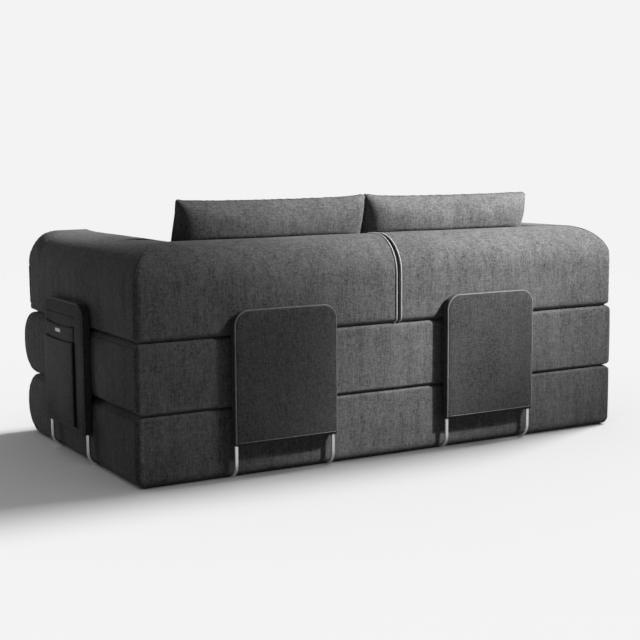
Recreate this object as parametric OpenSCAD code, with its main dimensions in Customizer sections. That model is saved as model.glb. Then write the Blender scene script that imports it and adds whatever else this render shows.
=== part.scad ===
// Sofa bed: two stacked mattresses, the upper one hinged to the lower at its front edge.
// Two corner bolsters stand on the upper mattress and form the back and both arms.
// Two loose pillows lean on the back, and four padded brackets hold the bolsters in place.
// The sitter faces -Y, the back is at +Y, and the origin is on the floor at the middle.

/* [Mattresses] */
// Width of both mattresses, arm side to arm side
sofa_w = 1800; // [1500:10:2200]
// Depth of the upper mattress, from its back face to its rounded front
seat_depth = 1040; // [850:10:1200]
// How far the lower mattress's front lies behind the upper one's
base_setback = 27; // [5:1:60]
// Thickness of each mattress
layer_t = 214; // [150:1:260]
// Flat left in the middle of each rounded front
nose_flat = 4; // [2:1:40]
// Radius of the long back edges
edge_r = 20; // [8:1:40]
// Cut along the side edges
edge_cut = 12; // [4:1:30]
// Cut along the upright corners
corner_cut = 13; // [4:1:30]
// Space between one layer and the next
layer_gap = 0.3; // [0.2:0.1:2]
// Height of the black non-slip fabric that wraps the bottom edge
skirt_h = 9; // [5:1:18]

/* [Fabric and foam] */
// Thickness of a cover with its wadding
cover_t = 1.6; // [1:0.1:3]
// Space between a cover and its filling
lining_gap = 0.3; // [0.2:0.1:1]

/* [Fold hinge] */
// How far the fold line lies in front of the point midway between the two fronts
fold_lead = 1.5; // [1:0.5:10]
// Thickness of each half of the fabric hinge
strip_t = 1.4; // [1:0.1:3]
// Radius of the round welt on the fold line
welt_r = 2.6; // [2:0.1:5]
// Distance from the hinge's end to the mattress's side
strip_inset = 80; // [30:5:200]

/* [Bolsters] */
// Height of the back and arms above the seat
bolster_h = 280; // [200:5:380]
// Thickness of the back and arms
bolster_t = 210; // [150:5:260]
// How far the arm fronts lie behind the seat's front
arm_setback = 70; // [20:5:200]
// Radius of the outer top edge
crown_r = 122; // [60:1:140]
// Radius of the back's inner top edge
inner_r = 48; // [15:1:70]
// Cut along the arms' inner top edge
inner_cut = 28; // [8:1:60]
// Radius of the arm front's lower edge
arm_foot_r = 38; // [10:1:60]
// Half the space between the two bolsters at the middle seam
seam_half = 2.6; // [1:0.1:8]
// Width of the light piping at the middle seam
piping_w = 6; // [3:0.5:10]
// How far the piping stands out of the cover
piping_out = 1.5; // [0.5:0.1:4]

/* [Pillows] */
// Width of one pillow
pillow_w = 684; // [450:2:700]
// Height of one pillow along its own face
pillow_h = 412; // [300:2:520]
// Thickness of one pillow at its middle
pillow_t = 165; // [90:1:220]
// Lean of the pillows towards the back, in degrees
pillow_lean = 12; // [4:1:16]
// Half the space between the two pillows
pillow_gap_half = 3; // [1:0.5:20]
// Height of the pillow's seam edge
pillow_edge_t = 14; // [8:1:30]
// Cut across each of the pillow's corners
pillow_corner_cut = 18; // [6:1:50]

/* [Bracket steel] */
// Outer radius of the bent tube
tube_r = 6.25; // [5:0.25:10]
// Wall of the bent tube
tube_wall = 1.2; // [1:0.1:2]
// Radius of the bend at the foot, on the tube's middle line
foot_bend_r = 38; // [25:1:60]
// Length of the straight foot under the mattress
foot_run = 280; // [150:5:400]
// Thickness of the foot plate between the two tubes
plate_t = 3; // [2:0.5:5]
// Height at which the foot's legs plug into the upper frame
plug_z = 150; // [120:5:220]
// Length of the plug inside the upper frame
plug_len = 40; // [20:1:80]
// Radial clearance of the plug
plug_clear = 0.1; // [0.05:0.01:0.2]

/* [Bracket panels] */
// Width of a panel
panel_w = 352; // [250:2:500]
// Height of the panel's lower edge above the floor
panel_low = 102; // [80:1:115]
// Height of the panel's upper edge above the floor
panel_top = 510; // [440:1:640]
// Thickness of a panel
panel_t = 30; // [26:1:45]
// Space between a panel and the sofa
panel_gap = 5; // [2:0.5:20]
// Radius of the panel's upper corners
panel_corner_r = 48; // [30:1:90]
// Radius of the panel's long edges
panel_edge_r = 9; // [4:0.5:12]
// Thickness of the sleeve's fabric
sleeve_t = 1.5; // [1:0.1:2]
// Thickness of the board inside a panel
board_t = 9; // [5:1:12]
// Distance of the left rear bracket from the sofa's middle
rear_left_x = 428; // [250:2:650]
// Distance of the right rear bracket from the sofa's middle
rear_right_x = 342; // [250:2:650]
// Distance of the arm brackets from the back face
side_from_back = 530; // [400:5:640]

/* [Pocket] */
// Distance from the pocket's rear edge to the panel's rear edge
pocket_rear_margin = 64; // [40:1:90]
// Distance from the pocket's front edge to the panel's front edge
pocket_front_margin = 18; // [10:1:60]
// Height of the pocket's lower edge above the panel's lower edge
pocket_low_margin = 16; // [8:1:60]
// Distance from the patch's top to the panel's top
patch_top_margin = 44; // [30:1:90]
// Distance from the patch's top down to the middle pocket's mouth
middle_drop = 30; // [15:1:60]
// Distance from the middle pocket's mouth down to the front pocket's mouth
front_drop = 48; // [25:1:90]
// Thickness of the pocket's fabric
pocket_t = 1.2; // [0.8:0.1:2]
// Room inside each pocket, front to back
pocket_room = 4.6; // [4.4:0.1:20]
// Width of the blank metal tab on the middle pocket
tab_w = 46; // [15:1:70]
// Height of the blank metal tab
tab_h = 11; // [6:1:20]
// Thickness of the blank metal tab
tab_t = 1.2; // [0.8:0.1:3]

/* [Hidden] */

// One overrun for every cut
over = 1;
// Clearance between pieces that lie on each other
seat_clear = 0.3;
// Clearance round a piece that slides out of a hollow
slide_clear = 1;
fine = 72;

side_x = sofa_w / 2;
back_y = seat_depth / 2;
seat_front_y = -seat_depth / 2;
base_front_y = seat_front_y + base_setback;
arm_front_y = seat_front_y + arm_setback;
base_top_z = layer_t;
seat_top_z = 2 * layer_t;
back_top_z = seat_top_z + bolster_h;
nose_r = (layer_t - layer_gap - nose_flat) / 2;
foam_inset = cover_t + lining_gap;
bolster_inner_x = side_x - bolster_t;
bolster_inner_y = back_y - bolster_t;

fold_y = (seat_front_y + base_front_y) / 2 - fold_lead;
fold_z = base_top_z;

// Where a hinge strip meets the rounded front that starts at front_y
strip_deep = strip_t + 3 / 2 * seat_clear - layer_gap / 2;
function strip_end(front_y) = front_y + nose_r - sqrt(nose_r * nose_r - pow(nose_r - strip_deep, 2));

leg_u = panel_w / 2 - sleeve_t - seat_clear - tube_r;
leg_v = panel_gap + panel_t / 2;
bore_r = tube_r - tube_wall;
frame_top_z = panel_top - sleeve_t - seat_clear - tube_r;
frame_corner_r = panel_corner_r - sleeve_t - seat_clear - tube_r;
foot_end_v = leg_v - foot_bend_r - foot_run;
panel_out_v = panel_gap + panel_t;
sleeve_in_v = panel_gap + sleeve_t;
side_bracket_y = back_y - side_from_back;

pocket_u0 = -panel_w / 2 + pocket_rear_margin;
pocket_u1 = panel_w / 2 - pocket_front_margin;
pocket_low = panel_low + pocket_low_margin;
patch_top = panel_top - patch_top_margin;
middle_top = patch_top - middle_drop;
front_top = middle_top - front_drop;
patch_v = panel_out_v + seat_clear / 2;
middle_v = patch_v + pocket_t + seat_clear / 2;
front_v = middle_v + pocket_room + pocket_t + seat_clear / 2;

// What is outside a rounded corner: p is the corner, sx and sy point into the shape
module corner_waste(p, r, sx, sy) {
  low_x = sx > 0 ? -over : -r;
  low_y = sy > 0 ? -over : -r;
  translate(p)
    difference() {
      translate([low_x, low_y]) square(r + over);
      translate([sx * r, sy * r]) circle(r, $fn = fine);
    }
}

// A rectangle from a to b, with radii in the order low-low, high-low, high-high, low-high
module round_rect(a, b, radii) {
  difference() {
    translate(a) square(b - a);
    if (radii[0] > 0) corner_waste(a, radii[0], 1, 1);
    if (radii[1] > 0) corner_waste([b[0], a[1]], radii[1], -1, 1);
    if (radii[2] > 0) corner_waste(b, radii[2], -1, -1);
    if (radii[3] > 0) corner_waste([a[0], b[1]], radii[3], 1, -1);
  }
}

// What a straight cut takes off a corner
module corner_chip(p, cut) {
  if (cut > 0) translate(p) rotate(45) square(sqrt(2) * cut, center = true);
}

// A rectangle from a to b with straight cuts across its corners, in the same order
module cut_rect(a, b, cuts) {
  difference() {
    translate(a) square(b - a);
    corner_chip(a, cuts[0]);
    corner_chip([b[0], a[1]], cuts[1]);
    corner_chip(b, cuts[2]);
    corner_chip([a[0], b[1]], cuts[3]);
  }
}

// The size of a straight cut when all its faces are drawn in by inset
function cut_in(cut, inset) = cut - (2 - sqrt(2)) * inset;

// An outline drawn in Y and Z, carried along X
module along_x(x0, x1) {
  translate([x0, 0, 0]) rotate([90, 0, 90]) linear_extrude(x1 - x0) children();
}

// An outline drawn in X and Z, carried along Y
module along_y(y0, y1) {
  translate([0, y1, 0]) rotate([90, 0, 0]) linear_extrude(y1 - y0) children();
}

// An outline drawn in X and Y, carried along Z
module along_z(z0, z1) {
  translate([0, 0, z0]) linear_extrude(z1 - z0) children();
}

// A mattress shape, drawn in by inset on every side
module mattress(front_y, z0, z1, inset) {
  x = side_x - inset;
  y0 = front_y + inset;
  y1 = back_y - inset;
  low = z0 + inset;
  high = z1 - inset;
  nose = nose_r - inset;
  back = edge_r - inset;
  edge = cut_in(edge_cut, inset);
  corner = cut_in(corner_cut, inset);
  intersection() {
    along_x(-x, x) round_rect([y0, low], [y1, high], [nose, back, back, nose]);
    along_y(y0, y1) cut_rect([-x, low], [x, high], [edge, edge, edge, edge]);
    along_z(low, high) cut_rect([-x, y0], [x, y1], [corner, corner, corner, corner]);
  }
}

module base_shape(inset) {
  mattress(base_front_y, 0, base_top_z - layer_gap / 2, inset);
}

module seat_shape(inset) {
  mattress(seat_front_y, base_top_z + layer_gap / 2, seat_top_z - layer_gap / 2, inset);
}

// A bolster shape at the sitter's left, drawn in by inset on every side
module bolster(inset) {
  x0 = seam_half + inset;
  x1 = side_x - inset;
  y0 = arm_front_y + inset;
  y1 = back_y - inset;
  z0 = seat_top_z + layer_gap / 2 + inset;
  z1 = back_top_z - inset;
  crown = crown_r - inset;
  back = edge_r - inset;
  edge = cut_in(edge_cut, inset);
  corner = cut_in(corner_cut, inset);
  in_x = bolster_inner_x + inset;
  in_y = bolster_inner_y + inset;
  intersection() {
    along_x(x0, x1) round_rect([y0, z0], [y1, z1], [arm_foot_r - inset, back, crown, crown]);
    along_y(y0, y1)
      difference() {
        round_rect([x0, z0], [x1, z1], [0, 0, crown, 0]);
        corner_chip([x1, z0], edge);
      }
    along_z(z0, z1) cut_rect([x0, y0], [x1, y1], [0, corner, corner, 0]);
    union() {
      along_x(x0, x1) round_rect([in_y, z0], [y1, z1], [back, 0, 0, inner_r - inset]);
      intersection() {
        along_y(y0, y1) cut_rect([in_x, z0], [x1, z1], [edge, 0, 0, cut_in(inner_cut, inset)]);
        along_z(z0, z1) cut_rect([in_x, y0], [x1, y1], [corner, 0, 0, 0]);
      }
    }
  }
}

// The band that the piping fills, round the bolster's end at the middle seam
module piping_band(clear) {
  in = piping_w / 2 + clear;
  out = piping_out + clear;
  z0 = seat_top_z + layer_gap / 2;
  x0 = seam_half - clear;
  x1 = seam_half + piping_w + clear;
  along_x(x0, x1)
    difference() {
      round_rect([bolster_inner_y - out, z0], [back_y + out, back_top_z + out],
        [edge_r, edge_r, crown_r + out, inner_r + out]);
      round_rect([bolster_inner_y + in, z0 + in], [back_y - in, back_top_z - in],
        [edge_r - in, edge_r - in, crown_r - in, inner_r - in]);
    }
}

// A lens outline of the given length and thickness, along X, with the ends cut at a flat edge
module lens(length, thick, edge_t, inset) {
  half = length / 2;
  sag = (thick - edge_t) / 2;
  radius = (half * half + sag * sag) / (2 * sag);
  middle = radius - thick / 2;
  intersection() {
    translate([-half + inset, -thick]) square([length - 2 * inset, 2 * thick]);
    translate([0, -middle]) circle(radius - inset, $fn = 4 * fine);
    translate([0, middle]) circle(radius - inset, $fn = 4 * fine);
  }
}

// A pillow standing on its lower edge, leaning back, clipped where it rests on the back and seat
module pillow(inset) {
  rest_z = seat_top_z + layer_gap / 2 + seat_clear;
  lean_y = bolster_inner_y - seat_clear;
  middle_x = pillow_gap_half + pillow_w / 2;
  lift = pillow_h / 2 * cos(pillow_lean) + pillow_edge_t / 2 * sin(pillow_lean);
  // How far the middle of the pillow stands in front of the back, as a share of its thickness
  rear_share = 0.4;
  tall = pillow_h;
  corner = cut_in(pillow_corner_cut, inset);
  intersection() {
    translate([middle_x, lean_y - rear_share * pillow_t, rest_z + lift])
      rotate([-pillow_lean, 0, 0])
        intersection() {
          along_z(-tall, tall) lens(pillow_w, pillow_t, pillow_edge_t, inset);
          along_x(-pillow_w, pillow_w) rotate(90) lens(pillow_h, pillow_t, pillow_edge_t, inset);
          along_y(-pillow_t, pillow_t)
            cut_rect([-pillow_w / 2 + inset, -pillow_h / 2 + inset],
              [pillow_w / 2 - inset, pillow_h / 2 - inset], [corner, corner, corner, corner]);
        }
    along_x(0, side_x)
      union() {
        translate([lean_y - pillow_w - inset, rest_z + inset]) square([pillow_w, 2 * pillow_h]);
        translate([lean_y - pillow_w, back_top_z + inset]) square([2 * pillow_w, 2 * pillow_h]);
      }
  }
}

module mirrored() {
  mirror([1, 0, 0]) children();
}

// A quarter of a ring in X and Y, from +X to +Y
module quarter_bend(bend_r, r) {
  rotate_extrude(angle = 90, $fn = fine) translate([bend_r, 0]) circle(r, $fn = fine / 2);
}

// In the bracket modules, X runs along the sofa's face and Y points out of it

// One leg and foot: straight down, round the bend and in under the mattress
module leg_line(r, top_z, extra) {
  bend_z = tube_r + foot_bend_r;
  bend_v = leg_v - foot_bend_r;
  translate([0, leg_v, bend_z]) cylinder(h = top_z - bend_z, r = r, $fn = fine / 2);
  translate([0, bend_v, bend_z]) rotate([90, 0, 90]) rotate([0, 0, -90]) quarter_bend(foot_bend_r, r);
  translate([0, bend_v, tube_r]) rotate([90, 0, 0]) cylinder(h = foot_run + extra, r = r, $fn = fine / 2);
}

module both_legs() {
  for (side = [-1, 1]) translate([side * leg_u, 0, 0]) children();
}

module bracket_foot() {
  color("silver")
    difference() {
      union() {
        both_legs() leg_line(tube_r, plug_z, 0);
        both_legs() translate([0, leg_v, plug_z - over]) cylinder(h = plug_len + over, r = bore_r - plug_clear, $fn = fine / 2);
        translate([-leg_u, foot_end_v, 0]) cube([2 * leg_u, foot_run - foot_bend_r, plate_t]);
      }
      both_legs() leg_line(bore_r - tube_wall, plug_z + plug_len + over, over);
    }
}

// The upper frame: two uprights and a top rail, one bent tube
module frame_line(r, low_z) {
  corner_u = leg_u - frame_corner_r;
  corner_z = frame_top_z - frame_corner_r;
  for (side = [-1, 1])
    translate([side * leg_u, leg_v, low_z]) cylinder(h = corner_z - low_z, r = r, $fn = fine / 2);
  translate([corner_u, leg_v, corner_z]) rotate([90, 0, 0]) quarter_bend(frame_corner_r, r);
  mirrored() translate([corner_u, leg_v, corner_z]) rotate([90, 0, 0]) quarter_bend(frame_corner_r, r);
  translate([-corner_u, leg_v, frame_top_z]) rotate([0, 90, 0]) cylinder(h = 2 * corner_u, r = r, $fn = fine / 2);
}

module bracket_frame() {
  color("silver")
    difference() {
      frame_line(tube_r, plug_z);
      frame_line(bore_r, plug_z - over);
    }
}

// A flat piece inside the sleeve, from v0 to v1, drawn in from the panel's outline by inset
module panel_slab(v0, v1, inset, low_z) {
  half = panel_w / 2 - inset;
  top_r = panel_corner_r - inset;
  along_y(v0, v1) round_rect([-half, low_z], [half, panel_top - inset], [0, 0, top_r, top_r]);
}

module bracket_board() {
  inset = sleeve_t + 2 * tube_r + 2 * seat_clear;
  color("burlywood")
    panel_slab(leg_v - board_t / 2, leg_v + board_t / 2, inset, panel_low + sleeve_t);
}

module bracket_pad_outer() {
  color("gainsboro")
    panel_slab(leg_v + tube_r + seat_clear, panel_out_v - sleeve_t - seat_clear,
      sleeve_t + tube_r, panel_low + sleeve_t);
}

module bracket_pad_inner() {
  color("gainsboro")
    panel_slab(sleeve_in_v + seat_clear, leg_v - tube_r - seat_clear,
      sleeve_t + tube_r, panel_low + sleeve_t);
}

// The fabric sleeve: closed at the top and open at its lower hem, where the legs come out
module bracket_sleeve() {
  half = panel_w / 2;
  in_edge = panel_edge_r - sleeve_t;
  color("dimgray")
    difference() {
      intersection() {
        panel_slab(panel_gap, panel_out_v, 0, panel_low);
        along_z(panel_low, panel_top)
          round_rect([-half, panel_gap], [half, panel_out_v],
            [panel_edge_r, panel_edge_r, panel_edge_r, panel_edge_r]);
      }
      intersection() {
        panel_slab(sleeve_in_v, panel_out_v - sleeve_t, sleeve_t, panel_low - over);
        along_z(panel_low - over, panel_top)
          round_rect([-half + sleeve_t, sleeve_in_v], [half - sleeve_t, panel_out_v - sleeve_t],
            [in_edge, in_edge, in_edge, in_edge]);
      }
    }
}

// A plastic plug in the open end of one foot tube
module bracket_cap(side) {
  plug_r = bore_r - tube_wall - plug_clear;
  color("black")
    translate([side * leg_u, foot_end_v, tube_r]) rotate([90, 0, 0]) {
      cylinder(h = 2 * tube_wall, r = tube_r, $fn = fine / 2);
      translate([0, 0, -2 * tube_r]) cylinder(h = 2 * tube_r + over, r = plug_r, $fn = fine / 2);
    }
}

// The hollow that a bracket's foot lies in, open to the outside so that it slides out.
// A wall of fabric grows it by the given amount.
module foot_hollow(grow) {
  half = tube_r + slide_clear + grow;
  high = 2 * tube_r + slide_clear + grow;
  bend_high = (tube_r + foot_bend_r) / 2 + grow;
  deep_v = foot_end_v - 2 * tube_wall - slide_clear - grow;
  bend_v = leg_v - foot_bend_r - grow;
  out_v = leg_v + tube_r;
  both_legs() {
    translate([-half, deep_v, -over]) cube([2 * half, out_v - deep_v, high + over]);
    translate([-half, bend_v, -over]) cube([2 * half, out_v - bend_v, bend_high + over]);
  }
  translate([-leg_u, foot_end_v - slide_clear - grow, -over])
    cube([2 * leg_u, out_v - foot_end_v, plate_t + seat_clear + grow + over]);
}

module rear_left_place() {
  translate([rear_left_x, back_y, 0]) children();
}

module rear_right_place() {
  translate([-rear_right_x, back_y, 0]) children();
}

module side_left_place() {
  translate([side_x, side_bracket_y, 0]) rotate([0, 0, -90]) children();
}

module side_right_place() {
  translate([-side_x, side_bracket_y, 0]) rotate([0, 0, 90]) children();
}

// The lower mattress with its hollows, drawn in by inset on every side
module hollowed_base(inset) {
  difference() {
    base_shape(inset);
    rear_left_place() foot_hollow(inset);
    rear_right_place() foot_hollow(inset);
    side_left_place() foot_hollow(inset);
    side_right_place() foot_hollow(inset);
  }
}

// The part of the lower mattress's fabric that is black and non-slip: the skirt and the underside
module underside_zone(clear) {
  x = side_x - skirt_h;
  front = base_front_y + nose_r;
  high = foot_bend_r + skirt_h;
  translate([-sofa_w, -sofa_w, -over]) cube([2 * sofa_w, 2 * sofa_w, skirt_h + clear + over]);
  translate([-x - clear, front, 0]) cube([2 * (x + clear), back_y - skirt_h + clear - front, high]);
}

module base_cover() {
  color("dimgray")
    difference() {
      hollowed_base(0);
      hollowed_base(cover_t);
      underside_zone(seat_clear / 2);
    }
}

module base_foam() {
  color("khaki") hollowed_base(foam_inset);
}

module base_underside() {
  color("black")
    intersection() {
      difference() {
        hollowed_base(0);
        hollowed_base(cover_t);
      }
      underside_zone(-seat_clear / 2);
    }
}

// The half of the fabric hinge on the lower mattress, with the round welt on the fold line
module hinge_lower() {
  x = side_x - strip_inset;
  color("dimgray") {
    translate([-x, fold_y, fold_z - seat_clear / 2 - strip_t])
      cube([2 * x, strip_end(base_front_y) - fold_y, strip_t]);
    translate([-x, fold_y, fold_z]) rotate([0, 90, 0]) cylinder(h = 2 * x, r = welt_r, $fn = fine / 2);
  }
}

// The half of the fabric hinge on the upper mattress, clear of the welt that it turns round
module hinge_upper() {
  x = side_x - strip_inset;
  start = fold_y + welt_r + seat_clear;
  color("dimgray")
    translate([-x, start, fold_z + seat_clear / 2])
      cube([2 * x, strip_end(seat_front_y) - start, strip_t]);
}

module seat_cover() {
  color("dimgray")
    difference() {
      seat_shape(0);
      seat_shape(cover_t);
    }
}

module seat_foam() {
  color("khaki") seat_shape(foam_inset);
}

// The bolster's fabric, without the band that the piping fills
module bolster_shell() {
  difference() {
    bolster(0);
    bolster(cover_t);
    piping_band(seat_clear / 2);
  }
}

// The part of the bolster's length that is the end panel, inside the piping
module end_zone() {
  translate([-sofa_w, -sofa_w, 0]) cube([sofa_w + seam_half + piping_w / 2, 2 * sofa_w, sofa_w]);
}

module bolster_cover() {
  color("dimgray")
    difference() {
      bolster_shell();
      end_zone();
    }
}

module bolster_end() {
  color("dimgray")
    intersection() {
      bolster_shell();
      end_zone();
    }
}

module bolster_foam() {
  color("khaki")
    difference() {
      bolster(foam_inset);
      piping_band(seat_clear);
    }
}

module bolster_piping() {
  color("lightgray") piping_band(0);
}

module pillow_cover() {
  color("gray")
    difference() {
      pillow(0);
      pillow(cover_t);
    }
}

module pillow_filling() {
  color("white") pillow(foam_inset);
}

module pocket_patch() {
  color("dimgray")
    side_left_place()
      translate([pocket_u0, patch_v, pocket_low])
        cube([pocket_u1 - pocket_u0, pocket_t, patch_top - pocket_low]);
}

// A flat pocket: a front sheet with side and bottom gussets, open at the top and at the back
module pouch(v, top_z) {
  wide = pocket_u1 - pocket_u0;
  tall = top_z - pocket_low;
  translate([pocket_u0, v, pocket_low])
    difference() {
      cube([wide, pocket_room + pocket_t, tall]);
      translate([pocket_t, -over, pocket_t]) cube([wide - 2 * pocket_t, pocket_room + over, tall]);
    }
}

module pocket_middle() {
  color("dimgray") side_left_place() pouch(middle_v, middle_top);
}

module pocket_front() {
  color("dimgray") side_left_place() pouch(front_v, front_top);
}

// A blank metal tab on the middle pocket, above the front pocket's mouth
module pocket_tab() {
  centre_u = (pocket_u0 + pocket_u1) / 2;
  centre_z = (middle_top + front_top) / 2;
  color("silver")
    side_left_place()
      translate([centre_u, 0, centre_z])
        along_y(front_v, front_v + tab_t)
          round_rect([-tab_w / 2, -tab_h / 2], [tab_w / 2, tab_h / 2],
            [tab_h / 4, tab_h / 4, tab_h / 4, tab_h / 4]);
}

base_cover();
base_foam();
base_underside();
hinge_lower();
seat_cover();
seat_foam();
hinge_upper();
bolster_cover();  // left_bolster_cover
bolster_end();  // left_bolster_end
bolster_foam();  // left_bolster_foam
bolster_piping();  // left_bolster_piping
mirrored() bolster_cover();  // right_bolster_cover
mirrored() bolster_end();  // right_bolster_end
mirrored() bolster_foam();  // right_bolster_foam
mirrored() bolster_piping();  // right_bolster_piping
pillow_cover();  // left_pillow_cover
pillow_filling();  // left_pillow_filling
mirrored() pillow_cover();  // right_pillow_cover
mirrored() pillow_filling();  // right_pillow_filling
rear_left_place() bracket_foot();  // rear_left_foot
rear_left_place() bracket_frame();  // rear_left_frame
rear_left_place() bracket_board();  // rear_left_board
rear_left_place() bracket_pad_outer();  // rear_left_pad_outer
rear_left_place() bracket_pad_inner();  // rear_left_pad_inner
rear_left_place() bracket_sleeve();  // rear_left_sleeve
rear_left_place() bracket_cap(-1);  // rear_left_cap_a
rear_left_place() bracket_cap(1);  // rear_left_cap_b
rear_right_place() bracket_foot();  // rear_right_foot
rear_right_place() bracket_frame();  // rear_right_frame
rear_right_place() bracket_board();  // rear_right_board
rear_right_place() bracket_pad_outer();  // rear_right_pad_outer
rear_right_place() bracket_pad_inner();  // rear_right_pad_inner
rear_right_place() bracket_sleeve();  // rear_right_sleeve
rear_right_place() bracket_cap(-1);  // rear_right_cap_a
rear_right_place() bracket_cap(1);  // rear_right_cap_b
side_left_place() bracket_foot();  // side_left_foot
side_left_place() bracket_frame();  // side_left_frame
side_left_place() bracket_board();  // side_left_board
side_left_place() bracket_pad_outer();  // side_left_pad_outer
side_left_place() bracket_pad_inner();  // side_left_pad_inner
side_left_place() bracket_sleeve();  // side_left_sleeve
side_left_place() bracket_cap(-1);  // side_left_cap_a
side_left_place() bracket_cap(1);  // side_left_cap_b
side_right_place() bracket_foot();  // side_right_foot
side_right_place() bracket_frame();  // side_right_frame
side_right_place() bracket_board();  // side_right_board
side_right_place() bracket_pad_outer();  // side_right_pad_outer
side_right_place() bracket_pad_inner();  // side_right_pad_inner
side_right_place() bracket_sleeve();  // side_right_sleeve
side_right_place() bracket_cap(-1);  // side_right_cap_a
side_right_place() bracket_cap(1);  // side_right_cap_b
pocket_patch();
pocket_middle();
pocket_front();
pocket_tab();
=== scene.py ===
import math
from contextlib import contextmanager

import bmesh
import bpy
import numpy as np
from mathutils import Matrix, Vector, noise
from mathutils.bvhtree import BVHTree
from mathutils.kdtree import KDTree


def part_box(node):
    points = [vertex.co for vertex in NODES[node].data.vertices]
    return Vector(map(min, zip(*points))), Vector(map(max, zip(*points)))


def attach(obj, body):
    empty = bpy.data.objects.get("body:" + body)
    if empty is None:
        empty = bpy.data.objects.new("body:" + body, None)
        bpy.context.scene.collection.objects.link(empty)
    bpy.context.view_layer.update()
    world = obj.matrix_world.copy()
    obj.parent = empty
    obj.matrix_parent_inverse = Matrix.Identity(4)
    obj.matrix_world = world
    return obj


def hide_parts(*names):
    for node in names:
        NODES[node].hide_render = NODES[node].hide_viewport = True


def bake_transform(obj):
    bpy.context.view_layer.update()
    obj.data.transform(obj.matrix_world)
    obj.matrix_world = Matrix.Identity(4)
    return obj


bl_info = {
    "name": "Sofa bed",
    "version": (1, 0, 0),
    "blender": (4, 5, 0),
    "location": "3D View > Sidebar > Sofa Bed",
    "description": "Dresses the packed sofa bed in fabric, foam and steel, on a plain studio floor",
    "category": "Object",
}

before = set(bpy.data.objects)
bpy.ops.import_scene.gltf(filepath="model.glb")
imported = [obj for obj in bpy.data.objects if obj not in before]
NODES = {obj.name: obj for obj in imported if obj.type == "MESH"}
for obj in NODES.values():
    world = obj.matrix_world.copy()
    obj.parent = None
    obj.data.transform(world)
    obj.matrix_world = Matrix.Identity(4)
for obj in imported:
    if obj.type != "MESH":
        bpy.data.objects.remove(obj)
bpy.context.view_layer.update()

MM = 0.001
TINY = 1e-5                      # points nearer than this are at the same place
SIDES = {"left": 1, "right": -1}
BRACKETS = ("rear_left", "rear_right", "side_left", "side_right")
CHARCOAL = (0.115, 0.115, 0.115)
SLEEVE_CHARCOAL = (0.064, 0.064, 0.0645)

COVER_T = 1.9 * MM               # from a foam block's surface to its cover's
NEAR_EDGE = 17 * MM              # the skin is finer than elsewhere up to here from a tucked edge
FLAT_SWELL = 1 * MM              # swell of the fronts and backs, which meet others in the open bed
CROWN_R, INNER_R = 0.122, 0.048  # the bolster's outer crown, and its edge towards the seat
BOLSTER_T = 0.21
BACK_FACE = 0.31                 # y of the back's upright face towards the seat
SEAM_STEP = 9 * MM
PILLOW_HALF = (0.3445, 0.007, 0.207)   # the pillow's cut cloth, before it is stuffed
LAMP_PLACE = (-3.137, 3.491, 4.468)    # where the sofa's main lamps hang


# ---------------------------------------------------------------- shader maths

class Wire:
    """A shader value. Arithmetic on it adds the Math nodes."""

    def __init__(self, finish, socket):
        self.finish = finish
        self.socket = socket

    def _math(self, operation, a, b):
        return self.finish.add("ShaderNodeMath", {"operation": operation}, {0: a, 1: b})

    def __add__(self, other):
        return self._math("ADD", self, other)

    def __radd__(self, other):
        return self._math("ADD", other, self)

    def __sub__(self, other):
        return self._math("SUBTRACT", self, other)

    def __rsub__(self, other):
        return self._math("SUBTRACT", other, self)

    def __mul__(self, other):
        return self._math("MULTIPLY", self, other)

    def __rmul__(self, other):
        return self._math("MULTIPLY", other, self)

    def power(self, exponent):
        return self._math("POWER", self, exponent)


class Finish:
    """A material, or the world, being made. add() is the way to every node."""

    def __init__(self, name, for_world=False):
        self.owner = (bpy.data.worlds if for_world else bpy.data.materials).new(name)
        self.owner.use_nodes = True
        self.tree = self.owner.node_tree
        self.tree.nodes.clear()
        self.place = None if for_world else self.add("ShaderNodeTexCoord", out="Object")

    def add(self, kind, settings=None, sockets=None, out=0):
        node = self.tree.nodes.new(kind)
        for key, value in (settings or {}).items():
            setattr(node, key, value)
        for key, value in (sockets or {}).items():
            if isinstance(value, Wire):
                self.tree.links.new(value.socket, node.inputs[key])
            else:
                node.inputs[key].default_value = value
        return Wire(self, node.outputs[out]) if out is not None else node

    def noise(self, scale, detail=2.0, roughness=0.5, stretch=None, distortion=0.0):
        """Noise from 0 to 1. stretch scales it by itself in x, y and z."""
        where = self.place
        if stretch:
            where = self.add("ShaderNodeMapping", {"vector_type": "POINT"},
                             {"Vector": where, "Scale": stretch})
        return self.add("ShaderNodeTexNoise", {"noise_dimensions": "3D"},
                        {"Vector": where, "Scale": scale, "Detail": detail,
                         "Roughness": roughness, "Distortion": distortion})

    def ramp(self, value, low, high):
        return self.add("ShaderNodeMapRange", {"interpolation_type": "SMOOTHSTEP", "clamp": True},
                        {"Value": value, "From Min": low, "From Max": high})

    def mix(self, share, first, second):
        return self.add("ShaderNodeMix", {"data_type": "RGBA", "clamp_factor": True},
                        {0: share, 6: rgba(first), 7: rgba(second)}, out=2)

    def bump(self, height, distance, strength=1.0):
        return self.add("ShaderNodeBump", None,
                        {"Height": height, "Distance": distance, "Strength": strength})

    def axis(self, name):
        return self.add("ShaderNodeSeparateXYZ", None, {"Vector": self.place}, out=name)

    def shiny_or_seen(self):
        """1 for a ray from the camera, off something shiny or through something clear."""
        path = self.add("ShaderNodeLightPath", out=None)
        flags = ("Is Camera Ray", "Is Glossy Ray", "Is Transmission Ray")
        seen, glossy, through = (Wire(self, path.outputs[flag]) for flag in flags)
        return seen + glossy + through

    def close(self, **sockets):
        """Puts the Principled shader and the output in, and gives the material back."""
        named = {key.replace("_", " "): value for key, value in sockets.items()}
        shader = self.add("ShaderNodeBsdfPrincipled", None, named)
        self.add("ShaderNodeOutputMaterial", None, {"Surface": shader}, out=None)
        return self.owner


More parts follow.
